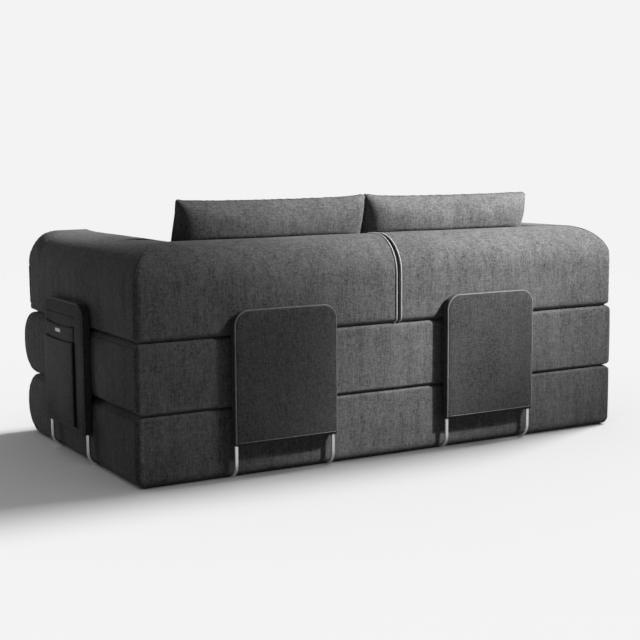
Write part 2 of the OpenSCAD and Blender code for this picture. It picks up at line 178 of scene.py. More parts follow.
def rgba(colour):
    return colour if isinstance(colour, Wire) else (*colour[:3], 1.0)


def tone(colour, share):
    return tuple(channel * share for channel in colour[:3])


def grey(value):
    return rgba((value,) * 3)


def woven(name, colour, grain=1.0, streaks=1.0, fine=1.0, painted_shade_below=None):
    """Chenille: flecked threads up and across, long upright streaks and soft cloudy patches.

    Below the given height, if one is given, it is painted black: painted shade, as inside a pocket
    behind the sheet in front.
    """
    f = Finish(name)
    warp = f.noise(1.0, 2.0, 0.6, (230 * fine, 230 * fine, 42 * fine))
    weft = f.noise(1.0, 2.0, 0.6, (55 * fine, 55 * fine, 240 * fine))
    fleck = f.noise(165 * fine, 3.0, 0.7)
    streak = f.noise(1.0, 3.0, 0.6, (38, 38, 3.0))
    patch = f.noise(6.5, 3.0, 0.55)
    threads = (warp - 0.5) * 0.9 + (weft - 0.5) * 0.7 + (fleck - 0.5) * 1.3
    broad = (streak - 0.5) * (0.6 * streaks) + (patch - 0.5) * 0.45
    colours = f.mix(threads * grain + broad + 0.5, tone(colour, 0.35), tone(colour, 1.65))
    if painted_shade_below:
        # painted shade: near black below the given height, the shade inside the pocket behind the
        # next tier
        inside = f.ramp(f.axis("Z"), painted_shade_below - 0.5 * MM, painted_shade_below - 2 * MM)
        colours = f.mix(inside, colours, (0.006, 0.006, 0.007))
    relief = f.bump(warp + weft + fleck, 1.1 * MM, 0.6)
    return f.close(Base_Color=colours, Roughness=0.95, Sheen_Weight=0.08, Sheen_Roughness=0.5,
                   Specular_IOR_Level=0.06, Normal=relief)


def steel(name, light=1.0, dull=0.27):
    f = Finish(name)
    brushed = f.noise(1.0, 3.0, 0.6, (900, 900, 40))
    cloud = f.noise(18, 3.0)
    colours = f.mix(cloud, tone((0.50, 0.50, 0.50), light), tone((0.66, 0.66, 0.65), light))
    return f.close(Base_Color=colours, Roughness=dull + brushed * 0.12 + cloud * 0.06,
                   Metallic=1.0, Normal=f.bump(brushed, 0.05 * MM, 0.4))


def piping_cloth(name, colour):
    f = Finish(name)
    twist = f.noise(420, 2.0, 0.6)
    cloud = f.noise(30)
    colours = f.mix(twist * 0.7 + cloud * 0.3, tone(colour, 0.75), tone(colour, 1.12))
    return f.close(Base_Color=colours, Roughness=0.7, Sheen_Weight=0.2,
                   Normal=f.bump(twist, 0.4 * MM, 0.5))


def non_slip(name):
    f = Finish(name)
    dots = f.add("ShaderNodeTexVoronoi", {"feature": "F1"}, {"Vector": f.place, "Scale": 260.0})
    raised = 1 - f.ramp(dots, 0.22, 0.42)
    colours = f.mix(raised, (0.012, 0.012, 0.013), (0.03, 0.03, 0.031))
    return f.close(Base_Color=colours, Roughness=0.75, Normal=f.bump(raised, 0.5 * MM, 0.6))


def foam(name, colour):
    f = Finish(name)
    cells = f.noise(520, 2.0, 0.7)
    cloud = f.noise(9, 3.0)
    colours = f.mix(cells * 0.6 + cloud * 0.4, tone(colour, 0.78), tone(colour, 1.08))
    return f.close(Base_Color=colours, Roughness=0.95, Normal=f.bump(cells, 0.6 * MM, 0.5))


def grained(name, first, second, rough, relief, *texture, **more):
    """A surface that one fine noise colours and raises."""
    f = Finish(name)
    grain = f.noise(*texture, **more)
    return f.close(Base_Color=f.mix(grain, first, second), Roughness=rough,
                   Normal=f.bump(grain, *relief))


def once(make, name, *details):
    """The material of this name, made when it is first asked for."""
    return bpy.data.materials.get(name) or make(name, *details)


def cloth(context, kind):
    """A woven cloth, by its name, its colour, and its grain, streaks and fineness."""
    cover, sleeve = context.scene.sofa_cloth.cover, context.scene.sofa_cloth.sleeve
    return once(woven, *{
        "cover": ("woven_chenille", cover),
        # painted shade: the pillows' cloth is the cover's colour darkened to 0.88, a shaded copy
        # that keeps the pillows as dark as the covers under the key
        "pillow": ("woven_pillow", tone(cover, 0.88)),
        "sleeve": ("woven_sleeve", sleeve, 1.1, 0.5, 1.1),
        # painted highlight: the welt cloth is the sleeve's colour made 3.2 times lighter, for the
        # light that the panels' rims catch
        "welt": ("woven_welt", tone(sleeve, 3.2), 0.6, 0.3, 1.2),
        # the mouths' binding: black tape, near black also as painted shade along each pocket mouth
        "binding": ("pocket_binding", (0.009, 0.009, 0.009), 0.6, 0.3),
    }[kind])


# ---------------------------------------------------------------- mesh helpers

def new_piece(name, mesh, material, body=None, stands_for=()):
    """An object at the origin with its place in its mesh."""
    piece = bpy.data.objects.new(name, mesh)
    bpy.context.scene.collection.objects.link(piece)
    mesh.materials.clear()
    mesh.materials.append(material)
    mesh.shade_smooth()
    if body:
        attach(piece, body)
    if stands_for:
        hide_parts(*stands_for)
    return piece


def walled(piece, thickness, offset=0):
    wall = piece.modifiers.new("wall", "SOLIDIFY")
    wall.thickness = thickness
    wall.offset = offset


@contextmanager
def edited(mesh):
    """The mesh, open to bmesh's operators and written back afterwards."""
    bm = bmesh.new()
    bm.from_mesh(mesh)
    yield bm
    bm.to_mesh(mesh)
    bm.free()


def to_mesh(bm, name):
    mesh = bpy.data.meshes.new(name)
    bmesh.ops.recalc_face_normals(bm, faces=bm.faces)
    bm.to_mesh(mesh)
    bm.free()
    return mesh


def box_mesh(bm, low, high):
    low, high = Vector(low), Vector(high)
    verts = bmesh.ops.create_cube(bm, size=1)["verts"]
    bmesh.ops.scale(bm, vec=high - low, verts=verts)
    bmesh.ops.translate(bm, vec=(low + high) / 2, verts=verts)


def lies_in(part, axis, place):
    """Whether an edge or a face lies in the plane across an axis at a place."""
    return all(abs(v.co[axis] - place) < TINY for v in part.verts)


def spans(edge, axis):
    """Whether an edge's ends are apart along an axis."""
    return abs(edge.verts[0].co[axis] - edge.verts[1].co[axis]) > TINY


def round_edges(bm, edges, radius, segments):
    bmesh.ops.bevel(bm, geom=edges, offset=radius, offset_type="OFFSET", segments=segments,
                    profile=0.5, affect="EDGES", clamp_overlap=False, material=-1)


def slice_mesh(bm, axis, step):
    """Cuts the whole mesh by planes a step apart, so that it can bend and swell."""
    places = [v.co[axis] for v in bm.verts]
    low, high = min(places), max(places)
    count = max(1, round((high - low) / step))
    normal = Vector((0, 0, 0))
    normal[axis] = 1
    for i in range(1, count):
        bmesh.ops.bisect_plane(bm, geom=bm.verts[:] + bm.edges[:] + bm.faces[:], dist=1e-6,
                               plane_co=normal * (low + (high - low) * i / count), plane_no=normal)


def evaluated(piece):
    """The piece's mesh with its modifiers applied."""
    graph = bpy.context.evaluated_depsgraph_get()
    return bpy.data.meshes.new_from_object(piece.evaluated_get(graph))


def surface_of(mesh):
    bm = bmesh.new()
    bm.from_mesh(mesh)
    tree = BVHTree.FromBMesh(bm)
    bm.free()
    return tree


def remeshed(mesh, voxel, fine):
    """An even skin that lies on a closed mesh, with a third of the step where fine(point) holds."""
    surface = surface_of(mesh)
    shape = bpy.data.objects.new("shape", mesh)
    bpy.context.scene.collection.objects.link(shape)
    skin = shape.modifiers.new("skin", "REMESH")
    skin.mode = "VOXEL"
    skin.voxel_size = voxel
    made = evaluated(shape)
    bpy.data.objects.remove(shape)
    with edited(made) as bm:
        for _ in range(2):
            bmesh.ops.smooth_vert(bm, verts=bm.verts, factor=0.5,
                                  use_axis_x=True, use_axis_y=True, use_axis_z=True)
            for v in bm.verts:
                v.co = surface.find_nearest(v.co)[0]
        edges = [e for e in bm.edges if all(fine(v.co) for v in e.verts)]
        bmesh.ops.subdivide_edges(bm, edges=edges, cuts=2, use_grid_fill=True, smooth=0)
        for v in bm.verts:
            if fine(v.co):
                v.co = surface.find_nearest(v.co)[0]
    return made


def points_of(mesh, what="co"):
    values = np.zeros(len(mesh.vertices) * 3, np.float32)
    mesh.vertices.foreach_get(what, values)
    return values.reshape(-1, 3).astype(float)


def skin_of(mesh):
    """The points of a mesh, and the way outwards at each."""
    return points_of(mesh), points_of(mesh, "normal")


def put_points(mesh, points):
    mesh.vertices.foreach_set("co", points.astype(np.float32).ravel())
    mesh.update()


def in_fixed_order(mesh):
    """Puts the faces and each face's corners in an order that every run repeats.

    Cuts leave them in one that changes from run to run, and a simulation feels it.
    """
    with edited(mesh) as bm:
        rings = []
        for face in bm.faces:
            ring = [v.index for v in face.verts]
            first = ring.index(min(ring))
            rings.append(ring[first:] + ring[:first])
        bmesh.ops.delete(bm, geom=bm.faces[:], context="FACES_ONLY")
        bm.verts.ensure_lookup_table()
        for ring in sorted(rings):
            bm.faces.new([bm.verts[i] for i in ring])


def ease(low, high, value):
    t = np.clip((value - low) / (high - low), 0, 1)
    return t * t * (3 - 2 * t)


def ripple(points, scale, seed):
    """Smooth noise from -1 to 1 at each point."""
    offset = Vector((seed, 1.7 * seed, 2.3 * seed))
    return np.array([noise.noise(Vector(p) * scale + offset) for p in points])


def undulated(mesh, scale, amount, seed, held):
    """Slight hollows and swellings of a stuffed face, and hollows alone on the front and back.

    held is the share that the level faces go without.
    """
    points, normals = skin_of(mesh)
    push = amount * (ripple(points, scale, seed) - np.abs(normals[:, 1]))
    push *= 1 - ease(0.8, 0.97, np.abs(normals[:, 2])) * held
    put_points(mesh, points + normals * push[:, None])


def standing_out(points, normals, low, high, amount, held):
    """Each point's way outwards on a swollen upright face, the most at mid height."""
    up = np.clip((points[:, 2] - low.z) / (high.z - low.z), 0, 1)
    across = np.abs(normals[:, 1])
    most = amount * (1 - across) + FLAT_SWELL * across
    push = most * (4 * up * (1 - up)) ** 0.7 * held * (1 - np.abs(normals[:, 2]))
    return normals * push[:, None]


def groove(mesh, path, width, depth):
    """Makes the mesh finer along a seam, and draws the skin in there."""
    tree = KDTree(len(path))
    for i, p in enumerate(path):
        tree.insert(p, i)
    tree.balance()
    with edited(mesh) as bm:
        near = {v for v in bm.verts if tree.find(v.co)[2] < 2.4 * width}
        fine = [e for e in bm.edges if near.issuperset(e.verts) and e.calc_length() > 0.75 * width]
        bmesh.ops.subdivide_edges(bm, edges=fine, cuts=2, use_grid_fill=True, smooth=0)
    points, normals = skin_of(mesh)
    away = np.array([tree.find(p)[2] for p in points])
    drawn = depth * np.exp(-((away / width) ** 2))
    put_points(mesh, points - normals * drawn[:, None])


def dense(points, step, closed=False):
    """The same line with points a step apart."""
    points = [Vector(p) for p in points]
    if closed:
        points.append(points[0])
    out = []
    for a, b in zip(points, points[1:]):
        count = max(1, round((b - a).length / step))
        out += [a.lerp(b, i / count) for i in range(count)]
    return out if closed else out + points[-1:]


def laid_on(mesh, path, lift):
    """The line's nearest points on a mesh, lifted off it."""
    surface = surface_of(mesh)
    found = (surface.find_nearest(p) for p in path)
    return [point + normal * lift for point, normal, _, _ in found]


def cord(name, path, radius, material, body, stands_for=(), closed=False, sides=2):
    """A round tube along a line, as a piece."""
    curve = bpy.data.curves.new(name, "CURVE")
    curve.dimensions = "3D"
    curve.bevel_depth = radius
    curve.bevel_resolution = sides
    curve.use_fill_caps = not closed
    spline = curve.splines.new("POLY")
    spline.points.add(len(path) - 1)
    for point, p in zip(spline.points, path):
        point.co = (*p, 1)
    spline.use_cyclic_u = closed
    holder = bpy.data.objects.new(name, curve)
    bpy.context.scene.collection.objects.link(holder)
    mesh = evaluated(holder)
    bpy.data.objects.remove(holder)
    with edited(mesh) as bm:
        bmesh.ops.remove_doubles(bm, verts=bm.verts, dist=1e-6)
        bmesh.ops.recalc_face_normals(bm, faces=bm.faces)
    return new_piece(name, mesh, material, body, stands_for)


def rounded_loop(low, high, radii, out=0.0, steps=8):
    """A rectangle's outline with rounded corners: low-low, high-low, high-high, low-high."""
    (a0, b0), (a1, b1) = low, high
    corners = ((a0, b0, 180), (a1, b0, 270), (a1, b1, 0), (a0, b1, 90))
    points = []
    for (a, b, start), r in zip(corners, radii):
        ca = a + (r if a == a0 else -r)
        cb = b + (r if b == b0 else -r)
        for i in range(steps + 1):
            angle = math.radians(start + 90 * i / steps)
            points.append((ca + (r + out) * math.cos(angle), cb + (r + out) * math.sin(angle)))
    return points


# ---------------------------------------------------------------- settings

def number(name, description, default, unit="NONE", low=0, **more):
    return bpy.props.FloatProperty(name=name, description=description, default=default,
                                   unit=unit, min=low, **more)


def length(name, description, millimetres, low=0):
    return number(name, description, millimetres * MM, "LENGTH", low * MM)


def colour(name, description, default):
    return bpy.props.FloatVectorProperty(name=name, description=description, default=default,
                                         subtype="COLOR", size=3, min=0, max=1)


class StageSettings(bpy.types.PropertyGroup):
    backdrop: number("Backdrop", "Brightness of floor and backdrop", 0.896, max=1)
    fill: number("Fill", "Light from all round", 0.047, max=2)
    key: number("Key", "Power of the spot above the right end", 5230.0, "POWER")
    front: number("Front", "Power of the lamp in front of the seat", 16.0, "POWER")


class ClothSettings(bpy.types.PropertyGroup):
    cover: colour("Cover", "Colour of the woven covers", CHARCOAL)
    sleeve: colour("Sleeve", "Colour of the bracket sleeves", SLEEVE_CHARCOAL)
    piping: colour("Piping", "Colour of the light piping", (0.50, 0.50, 0.50))
    welt_r: length("Welt radius", "Radius of the sewn seams", 1.7)


class MattressSettings(bpy.types.PropertyGroup):
    voxel: length("Mesh step", "Size of the skin's faces", 9, 4)
    swell: length("Swell", "How far the sides stand out at mid height", 6)
    crown: length("Crown", "How far the seat rises in its middle", 6)


class BolsterSettings(bpy.types.PropertyGroup):
    voxel: length("Mesh step", "Size of the skin's faces", 8, 4)
    swell: length("Swell", "How far the faces stand out at mid height", 4)
    piping_r: length("Piping radius", "Radius of the light piping", 2.4)


class PillowSettings(bpy.types.PropertyGroup):
    pressure: number("Pressure", "How hard the filling presses outwards", 2.5)
    lean: bpy.props.FloatProperty(name="Lean", description="Lean towards the back",
                                  default=math.radians(12), subtype="ANGLE")


class BracketSettings(bpy.types.PropertyGroup):
    puff: length("Puff", "How far a panel's face stands out", 3)
    corner: length("Corner radius", "Radius of a panel's upper corners", 48)
    sag: length("Sag", "How far the pocket mouths hang down", 7)


SETTINGS = {
    "sofa_stage": StageSettings,
    "sofa_cloth": ClothSettings,
    "sofa_mattress": MattressSettings,
    "sofa_bolster": BolsterSettings,
    "sofa_pillow": PillowSettings,
    "sofa_bracket": BracketSettings,
}


# ---------------------------------------------------------------- pieces

class SOFABED_OT_stage(bpy.types.Operator):
    """Makes the floor, the backdrop, the lamps and the camera"""

    bl_idname = "sofabed.stage"
    bl_label = "Stage"

    def execute(self, context):
        scene, settings = context.scene, context.scene.sofa_stage
        scene.view_settings.view_transform = "Standard"
        self.light_world(scene, settings)
        self.hang_lamps(scene, settings, self.lay_floor())
        self.set_camera(scene)
        return {"FINISHED"}

    def light_world(self, scene, settings):
        """The camera and shiny things see the backdrop, and the dimmer fill lights all else."""
        f = Finish("studio", for_world=True)
        lit = f.add("ShaderNodeBackground", None, {"Color": grey(settings.fill)})
        shown = f.add("ShaderNodeBackground", None, {"Color": grey(settings.backdrop)})
        mixed = f.add("ShaderNodeMixShader", None, {0: f.shiny_or_seen(), 1: lit, 2: shown})
        f.add("ShaderNodeOutputWorld", None, {"Surface": mixed}, out=None)
        scene.world = f.owner

    def lay_floor(self):
        """A pale disc that fades into the backdrop at its rim, and throws little light back up."""
        f = Finish("studio_floor")
        cloud = f.noise(2.0)
        pale, dim = (
            f.add("ShaderNodeBsdfDiffuse", None,
                  {"Color": f.mix(cloud, grey(shade - 0.002), grey(shade + 0.002))})
            for shade in (0.80, 0.20)
        )
        surface = f.add("ShaderNodeMixShader", None, {0: f.shiny_or_seen(), 1: dim, 2: pale})
        clear = f.add("ShaderNodeBsdfTransparent")
        across, along = f.axis("X"), f.axis("Y")
        distance = (across * across + along * along).power(0.5)
        faded = f.add("ShaderNodeMixShader", None,
                      {0: f.ramp(distance, 3.5, 9.0), 1: surface, 2: clear})
        f.add("ShaderNodeOutputMaterial", None, {"Surface": faded}, out=None)
        bm = bmesh.new()
        bmesh.ops.create_circle(bm, cap_ends=True, radius=10, segments=96)
        floor = new_piece("floor", to_mesh(bm, "floor"), f.owner)
        return floor

    def hang_lamps(self, scene, settings, floor):
        def lamp(name, kind, power, place, target=(0, 0, 0), **more):
            data = bpy.data.lights.new(name, kind)
            data.energy = power
            for key, value in more.items():
                setattr(data, key, value)
            made = bpy.data.objects.new(name, data)
            scene.collection.objects.link(made)
            made.visible_camera = False
            made.location = place
            aim = Vector(place) - Vector(target)
            made.rotation_euler = aim.to_track_quat("Z", "Y").to_euler()
            return made

        aim = (-1.114, 0.52, 1.918)
        on_sofa = [
            lamp("key", "SPOT", settings.key, LAMP_PLACE, aim,
                 spot_size=2 * math.acos(0.964), spot_blend=1.0, shadow_soft_size=0.16),
            lamp("key_spill", "POINT", 490, LAMP_PLACE, aim, shadow_soft_size=0.8),
            lamp("front", "AREA", settings.front, (1.9, -2.6, 0.4), (0.6, -0.4, 0.3),
                 shape="DISK", size=1.4),
            lamp("rear", "SUN", 0.10, (-0.35, 1.0, 0.35), angle=math.radians(70)),
            lamp("key_low", "SPOT", 1350, LAMP_PLACE, (0.06, 0.52, 0.07),
                 spot_size=math.radians(7.5), spot_blend=1.0, shadow_soft_size=0.16),
            lamp("aside", "SPOT", 44, (2.6, -1.6, 0.5), (0.95, 0.0, 0.30),
                 spot_size=math.radians(10), spot_blend=1.0),
        ]
        on_floor = [
            lamp("sun", "SUN", 3.93, (-1.25, -0.20, 1.0), angle=math.radians(24)),
            lamp("sky", "SUN", 0.96, (0, 0, 1.0), angle=math.radians(150)),
        ]
        floor_alone = bpy.data.collections.new("the floor alone")
        all_but_floor = bpy.data.collections.new("all but the floor")
        for lit, lamps in ((floor_alone, on_floor), (all_but_floor, on_sofa)):
            lit.objects.link(floor)
            for made in lamps:
                made.light_linking.receiver_collection = lit
        all_but_floor.collection_objects[0].light_linking.link_state = "EXCLUDE"

    def set_camera(self, scene):
        data = bpy.data.cameras.new("camera")
        data.sensor_width = 36
        data.lens = 73.55
        camera = bpy.data.objects.new("camera", data)
        scene.collection.objects.link(camera)
        heading, dip, roll = (math.radians(a) for a in (30.145, 7.305, -0.364))
        ahead = Vector((-math.sin(heading) * math.cos(dip), -math.cos(heading) * math.cos(dip),
                        -math.sin(dip)))
        level = Vector((-math.cos(heading), math.sin(heading), 0))
        up = level.cross(ahead)
        right = level * math.cos(roll) + up * math.sin(roll)
        up = right.cross(ahead)
        turn = Matrix((right, up, -ahead)).transposed()
        camera.matrix_world = Matrix.Translation((2.3008, 3.9785, 0.9705)) @ turn.to_4x4()
        scene.camera = camera


class SOFABED_OT_inner_parts(bpy.types.Operator):
    """Gives the frames, feet, boards, pads, foam and the tab their materials"""

    bl_idname = "sofabed.inner_parts"
    bl_label = "Steel and inner parts"

    def execute(self, context):
        finishes = {
            ("_foot", "_frame"): steel("satin_steel"),
            ("_board",): grained("board_wood", (0.30, 0.17, 0.08), (0.58, 0.40, 0.22), 0.6,
                                 (0.2 * MM, 0.4), 1.0, 4.0, 0.6, (70, 70, 5)),
            ("_pad_outer", "_pad_inner"): grained(
                "felt_pad_grey", (0.34, 0.34, 0.33), (0.60, 0.60, 0.58), 0.95,
                (0.6 * MM, 0.6), 380, 4.0, 0.75, distortion=0.6),
            ("_cap_a", "_cap_b"): grained("cap_plastic", (0.014, 0.014, 0.015),
                                          (0.026, 0.026, 0.027), 0.5, (0.1 * MM, 0.3), 600),
            ("_foam",): foam("seat_foam_cream", (0.72, 0.64, 0.42)),
            ("_filling",): foam("pillow_fibre", (0.80, 0.80, 0.78)),
            ("_underside",): non_slip("non_slip_black"),
            ("_tab",): steel("dark_nickel", 0.35, 0.6),
        }
        for name, node in NODES.items():
            for endings, material in finishes.items():
                if name.endswith(endings):
                    node.data.materials.clear()
                    node.data.materials.append(material)
        return {"FINISHED"}


def mattress_block(low, high, nose_r, edge_r):
    """A block with a round nose in front and softer edges elsewhere."""
    bm = bmesh.new()
    box_mesh(bm, low, high)
    round_edges(bm, [e for e in bm.edges if lies_in(e, 1, low.y) and spans(e, 0)], nose_r, 16)
    outer = ((0, low.x), (0, high.x), (1, high.y))
    round_edges(bm, [e for e in bm.edges if any(lies_in(e, *side) for side in outer)], edge_r, 4)
    return to_mesh(bm, "block")


def swollen_sides(mesh, low, high, amount):
    """Swells the upright faces, least at their corners, and turns their long edges in."""
    points, normals = skin_of(mesh)
    is_lower = low.z < 0.1
    from_sides = np.minimum(points[:, 0] - low.x, high.x - points[:, 0])
    to_back, to_front = high.y - points[:, 1], points[:, 1] - low.y
    corner = 0.8 if is_lower else 0.3
    held = corner + (1 - corner) * (ease(0.0, 0.13, np.maximum(from_sides, to_back))
                                    * ease(-0.02, 0.05, to_front + from_sides))
    points += standing_out(points, normals, low, high, amount, held)
    below_top, above_foot = high.z - points[:, 2], points[:, 2] - low.z
    to_edge = np.minimum(below_top, above_foot)
    # the side panels turn in under the seam, most of all between the two mattresses
    between = (below_top < above_foot) == is_lower
    tucked = np.where(between, 15 * MM * ease(16 * MM, 3 * MM, to_edge),
                      8 * MM * ease(20 * MM, 2 * MM, to_edge))
    tucked *= (ease(34 * MM, 5 * MM, from_sides) * ease(-0.012, 0.012, to_back)
               * ease(0.0, 0.3, to_front))
    points[:, 0] -= np.sign(points[:, 0]) * tucked
    # the back has a narrow slit between the mattresses, and a softer edge at the floor
    foot = is_lower & (above_foot < below_top)
    sunk = np.where(foot, 7 * MM * ease(20 * MM, 1 * MM, to_edge),
                    9 * MM * ease(8 * MM, 1.5 * MM, to_edge))
    points[:, 1] -= sunk * ease(22 * MM, 4 * MM, to_back)
    put_points(mesh, points)


class SOFABED_OT_mattresses(bpy.types.Operator):
    """Makes the two mattresses with their side seams, and the black skirt under the lower one"""

    bl_idname = "sofabed.mattresses"
    bl_label = "Mattresses"

    def execute(self, context):
        low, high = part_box("base_foam")
        low = low - Vector((COVER_T, COVER_T, 0))
        high = high + Vector((COVER_T, COVER_T, COVER_T))
        low.z = 3 * MM
        self.mattress(context, "lower_mattress", low, high, 1.0, ("base_cover", "base_foam"))
        self.mattress(context, "upper_mattress", *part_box("seat_cover"), 5.0,
                      ("seat_cover", "seat_foam"))
        self.skirt(low, high)
        return {"FINISHED"}

    def mattress(self, context, body, low, high, seed, stands_for):
        settings, material = context.scene.sofa_mattress, cloth(context, "cover")
        nose_r = (high.z - low.z) / 2 - 2 * MM

        def near_edge(p):
            beside = min(high.y - p.y, p.x - low.x, high.x - p.x) < NEAR_EDGE
            return beside and min(high.z - p.z, p.z - low.z) < NEAR_EDGE

        mesh = remeshed(mattress_block(low, high, nose_r, 8 * MM), settings.voxel, near_edge)
        swollen_sides(mesh, low, high, settings.swell)
        undulated(mesh, 5.0, 1.3 * MM, seed, 1.0)
        if body == "upper_mattress":
            self.crown_seat(mesh, settings.crown)
        outline = rounded_loop((low.y, low.z), (high.y, high.z),
                               (nose_r, 24 * MM, 24 * MM, nose_r), -11 * MM)
        loops = [dense([(x, y, z) for y, z in outline], SEAM_STEP, closed=True)
                 for x in (low.x - 8 * MM, high.x + 8 * MM)]
        for loop in loops:
            groove(mesh, laid_on(mesh, loop, 0), 6 * MM, 2.4 * MM)
        piece = new_piece(f"{body}_cover", mesh, material, body, stands_for)
        for side, loop in zip(("right", "left"), loops):
            cord(f"{body}_cover_{side}_seam", laid_on(mesh, loop, 0.6 * MM),
                 context.scene.sofa_cloth.welt_r, material, body, closed=True)

    def crown_seat(self, mesh, crown):
        """Raises the seat between the arms and in front of the back."""
        points, normals = skin_of(mesh)
        across = ease(0.69, 0.35, np.abs(points[:, 0]))
        along = ease(-0.50, -0.25, points[:, 1]) * ease(0.17, -0.10, points[:, 1])
        points[:, 2] += crown * across * along * (normals[:, 2] > 0.5)
        put_points(mesh, points)

    def skirt(self, low, high):
        """The non-slip fabric: a thin tray under the lower mattress, a little narrower than it."""
        inset, nose, foot, top = 15 * MM, 72 * MM, 0.2 * MM, 6 * MM
        bm = bmesh.new()
        box_mesh(bm, (low.x + inset, low.y + nose, foot), (high.x - inset, high.y - inset, top))
        round_edges(bm, [e for e in bm.edges if spans(e, 2)], 16 * MM, 5)
        round_edges(bm, [e for e in bm.edges if lies_in(e, 2, foot)], 3 * MM, 3)
        material = bpy.data.materials["non_slip_black"]
        new_piece("lower_mattress_skirt", to_mesh(bm, "skirt"), material, "lower_mattress",
                  ("base_underside",))


class SOFABED_OT_fold_hinge(bpy.types.Operator):
    """Makes the fabric hinge that folds between the two mattresses' fronts"""

    bl_idname = "sofabed.fold_hinge"
    bl_label = "Fold hinge"

    def execute(self, context):
        lower_low, lower_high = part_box("hinge_lower")
        upper_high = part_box("hinge_upper")[1]
        welt_r, cloth_r, away = 2.6 * MM, 2.2 * MM, 0.9 * MM
        fold_y, fold_z = lower_low.y + welt_r, lower_high.z - welt_r
        # the cloth's line from the lower mattress, round the welt, to the upper mattress
        line = [(lower_high.y - 1 * MM, fold_z - away), (fold_y + 10 * MM, fold_z - away)]
        steps = 12
        for i in range(steps + 1):
            angle = math.radians(-60 - 240 * i / steps)
            line.append((fold_y + cloth_r * math.cos(angle), fold_z + cloth_r * math.sin(angle)))
        line += [(fold_y + 10 * MM, fold_z + away), (upper_high.y - 1 * MM, fold_z + away)]
        half = lower_high.x
        bm = bmesh.new()
        first = [bm.verts.new((-half, y, z)) for y, z in line]
        for a, b in zip(first, first[1:]):
            bm.edges.new((a, b))
        made = bmesh.ops.extrude_edge_only(bm, edges=bm.edges[:])
        moved = [v for v in made["geom"] if isinstance(v, bmesh.types.BMVert)]
        bmesh.ops.translate(bm, vec=(2 * half, 0, 0), verts=moved)
        slice_mesh(bm, 0, 60 * MM)
        piece = new_piece("fold_hinge_cloth", to_mesh(bm, "hinge"), cloth(context, "sleeve"), None,
                          ("hinge_lower", "hinge_upper"))
        walled(piece, 0.8 * MM)
        piece.data = evaluated(piece)
        piece.modifiers.clear()
        piece.data.shade_smooth()
        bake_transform(piece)
        return {"FINISHED"}


